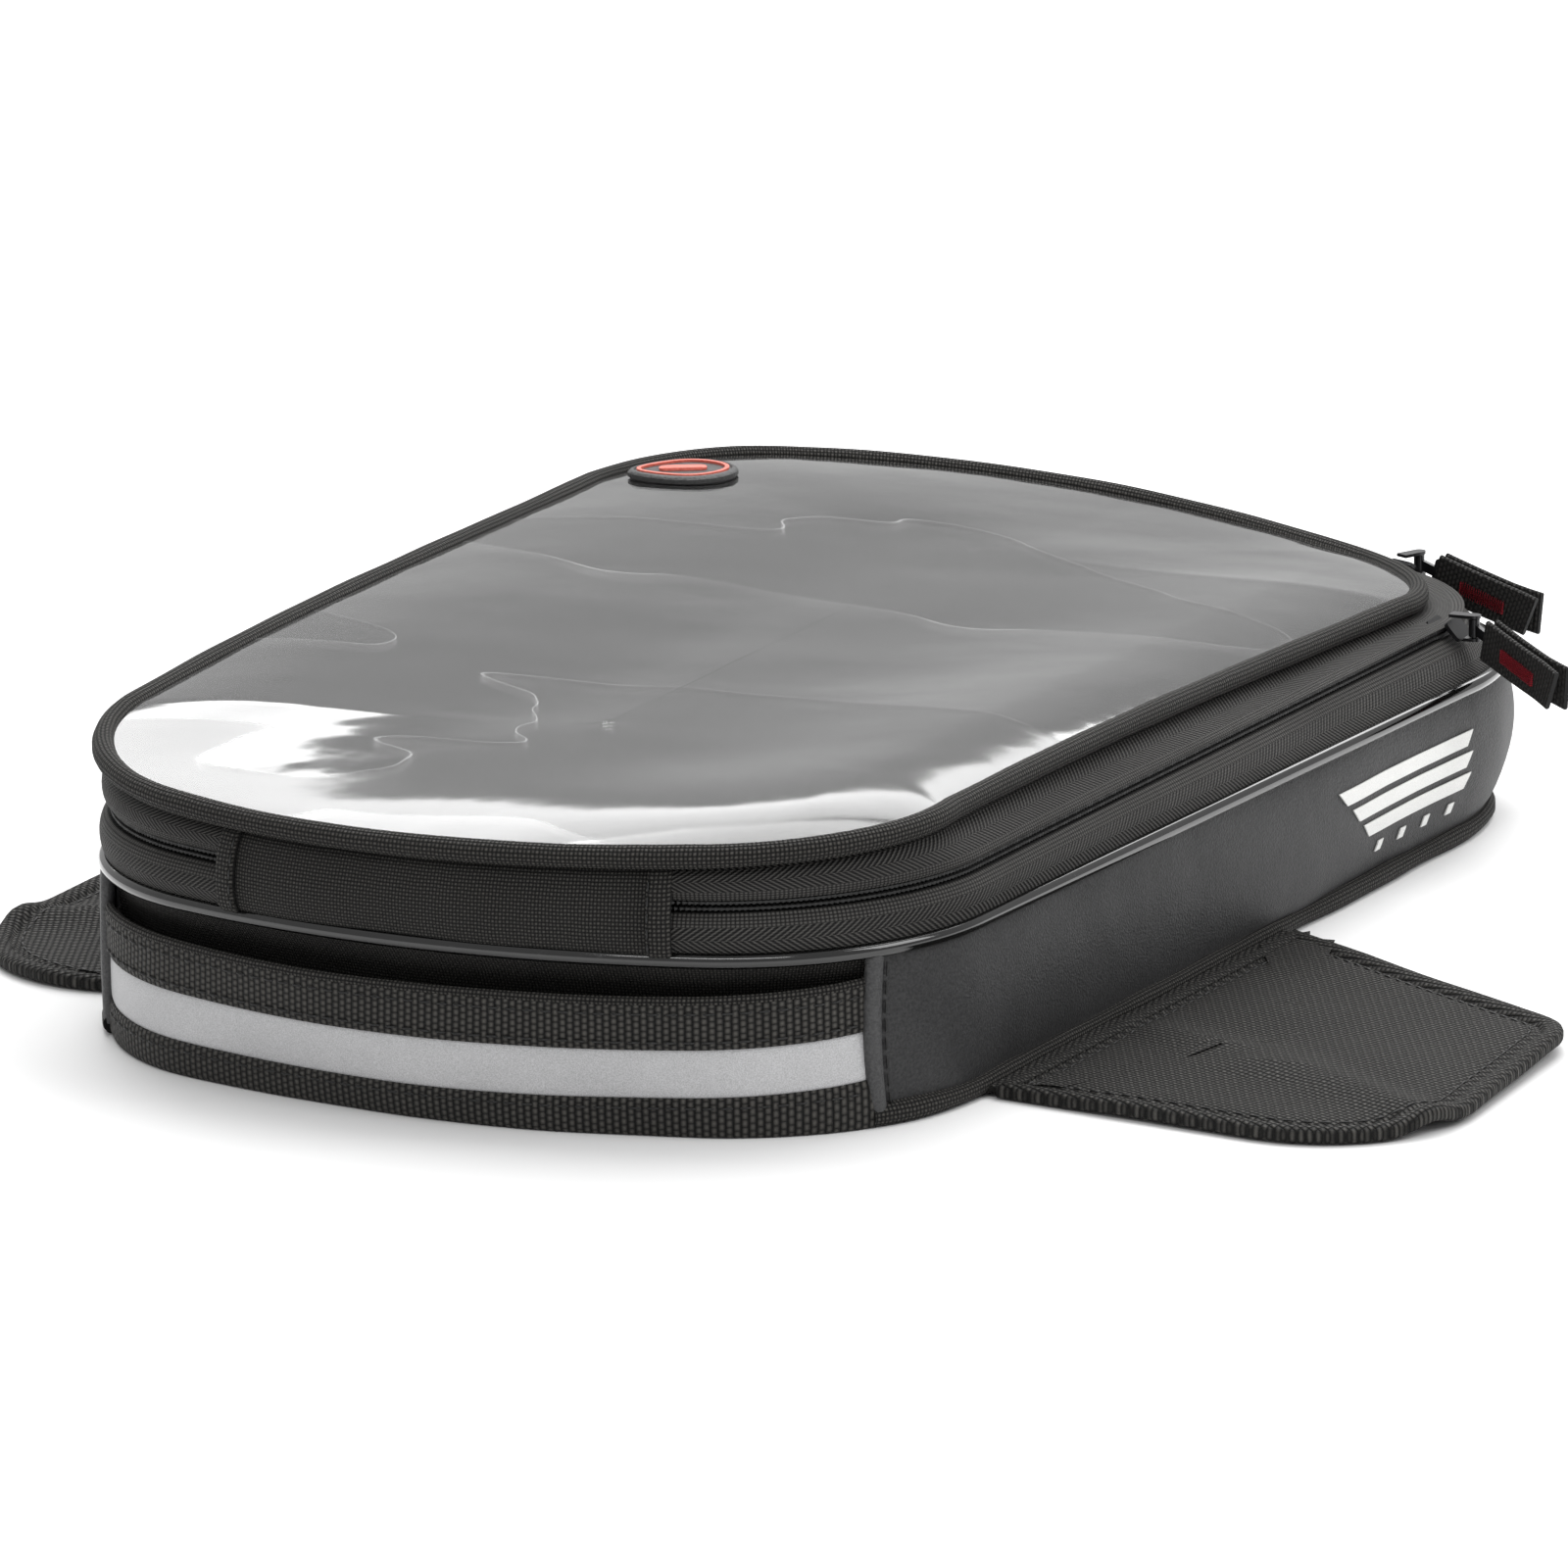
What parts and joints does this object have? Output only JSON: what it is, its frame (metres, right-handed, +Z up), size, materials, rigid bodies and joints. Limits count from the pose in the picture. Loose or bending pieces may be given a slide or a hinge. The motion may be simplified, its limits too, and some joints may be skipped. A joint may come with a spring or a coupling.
{
  "type": "motorcycle tank bag",
  "caption": "Shallow soft tank bag with a hinged zip lid, clear map window, front pocket with reflective strip and magnet flaps.",
  "frame": {"origin": "on the resting plane under the middle of the base", "axes": "+Z up, +Y from the hinged front end towards the far end, +X to the right side"},
  "size_m": [0.3856, 0.4061, 0.069],
  "materials": {
    "ballistic_nylon": "coarse black basket weave",
    "webbing": "ribbed black webbing",
    "side_cloth": "matte grained dark grey",
    "lining_cloth": "fine ribbed dark grey knit",
    "foam": "closed-cell foam",
    "board": "stiffener board",
    "gloss_bead": "high gloss black",
    "zip_tape": "herringbone woven",
    "zip_coil": "nylon coil",
    "clear_window": "clear flexible PVC",
    "reflective": "retroreflective",
    "print": "reflective print",
    "badge_rubber": "matte rubber",
    "badge_coral": "matte coral",
    "zip_metal": "black lacquer",
    "red_thread": "thread",
    "magnet": "plated magnet"
  },
  "bodies": {
    "bag_body": {"base_panel": "ballistic_nylon", "base_stiffener": "board", "base_binding": "ballistic_nylon", "side_wall_right": "side_cloth", "side_wall_left": "side_cloth", "wall_padding_right": "foam", "wall_padding_left": "foam", "wall_trim_right": "side_cloth", "wall_trim_left": "side_cloth", "front_wall": "ballistic_nylon", "front_padding": "foam", "pocket_panel": "ballistic_nylon", "pocket_webbing_lower": "webbing", "reflective_strip": "reflective", "pocket_webbing_upper": "webbing", "gloss_piping": "gloss_bead", "zip_tape_lower": "zip_tape", "zip_coil_lower": "zip_coil", "hinge_gusset": "ballistic_nylon", "gusset_hems": "ballistic_nylon", "side_mark_right": "print", "side_mark_left": "print", "flap_right_root": "ballistic_nylon", "flap_left_root": "ballistic_nylon"},
    "lid": {"lid_rim_piping": "ballistic_nylon", "lid_backing": "lining_cloth", "map_window": "clear_window", "lid_foam": "foam", "lid_lining": "lining_cloth", "zip_tape_upper": "zip_tape", "zip_coil_upper": "zip_coil", "badge_base": "badge_rubber", "badge_inlay": "badge_coral"},
    "slider_far": {"slider_far": "zip_metal"},
    "slider_corner": {"slider_corner": "zip_metal"},
    "pull_far": {"pull_tab_far": "zip_metal", "pull_webbing_far": "webbing", "pull_stitching_far": "red_thread"},
    "pull_corner": {"pull_tab_corner": "zip_metal", "pull_webbing_corner": "webbing", "pull_stitching_corner": "red_thread"},
    "flap_right": {"flap_right_under": "ballistic_nylon", "flap_right_cover": "ballistic_nylon", "flap_right_pad": "foam", "flap_right_magnets": "magnet", "flap_right_edge": "ballistic_nylon"},
    "flap_left": {"flap_left_under": "ballistic_nylon", "flap_left_cover": "ballistic_nylon", "flap_left_pad": "foam", "flap_left_magnets": "magnet", "flap_left_edge": "ballistic_nylon"}
  },
  "joints": [
    {"name": "lid_hinge", "type": "hinge", "parent": "bag_body", "child": "lid", "pos_m": [0, -0.2025, 0.053], "axis": [1, 0, 0], "range_deg": [0, 110], "deforming": ["hinge_gusset", "gusset_hems"]},
    {"name": "slider_far_travel", "type": "hinge", "parent": "bag_body", "child": "slider_far", "pos_m": [0, -0.00367, 0.053], "axis": [0, 0, 1], "range_deg": [0, 50]},
    {"name": "slider_corner_travel", "type": "hinge", "parent": "bag_body", "child": "slider_corner", "pos_m": [0.057, 0.1165, 0.053], "axis": [0, 0, 1], "range_deg": [-6, 12]},
    {"name": "pull_far_swing", "type": "hinge", "parent": "slider_far", "child": "pull_far", "pos_m": [0.08674, 0.1792, 0.053], "axis": [0, 0, 1], "range_deg": [0, 150]},
    {"name": "pull_corner_swing", "type": "hinge", "parent": "slider_corner", "child": "pull_corner", "pos_m": [0.12636, 0.11892, 0.053], "axis": [0, 0, 1], "range_deg": [-42, 85]},
    {"name": "flap_right_fold", "type": "hinge", "parent": "bag_body", "child": "flap_right", "pos_m": [0.12101, 0, 0.0016], "axis": [-0.0601, -0.9982, 0], "range_deg": [-50, 70], "deforming": ["flap_right_root"]},
    {"name": "flap_left_fold", "type": "hinge", "parent": "bag_body", "child": "flap_left", "pos_m": [-0.12101, 0, 0.0016], "axis": [-0.0601, 0.9982, 0], "range_deg": [-50, 70], "deforming": ["flap_left_root"]}
  ]
}
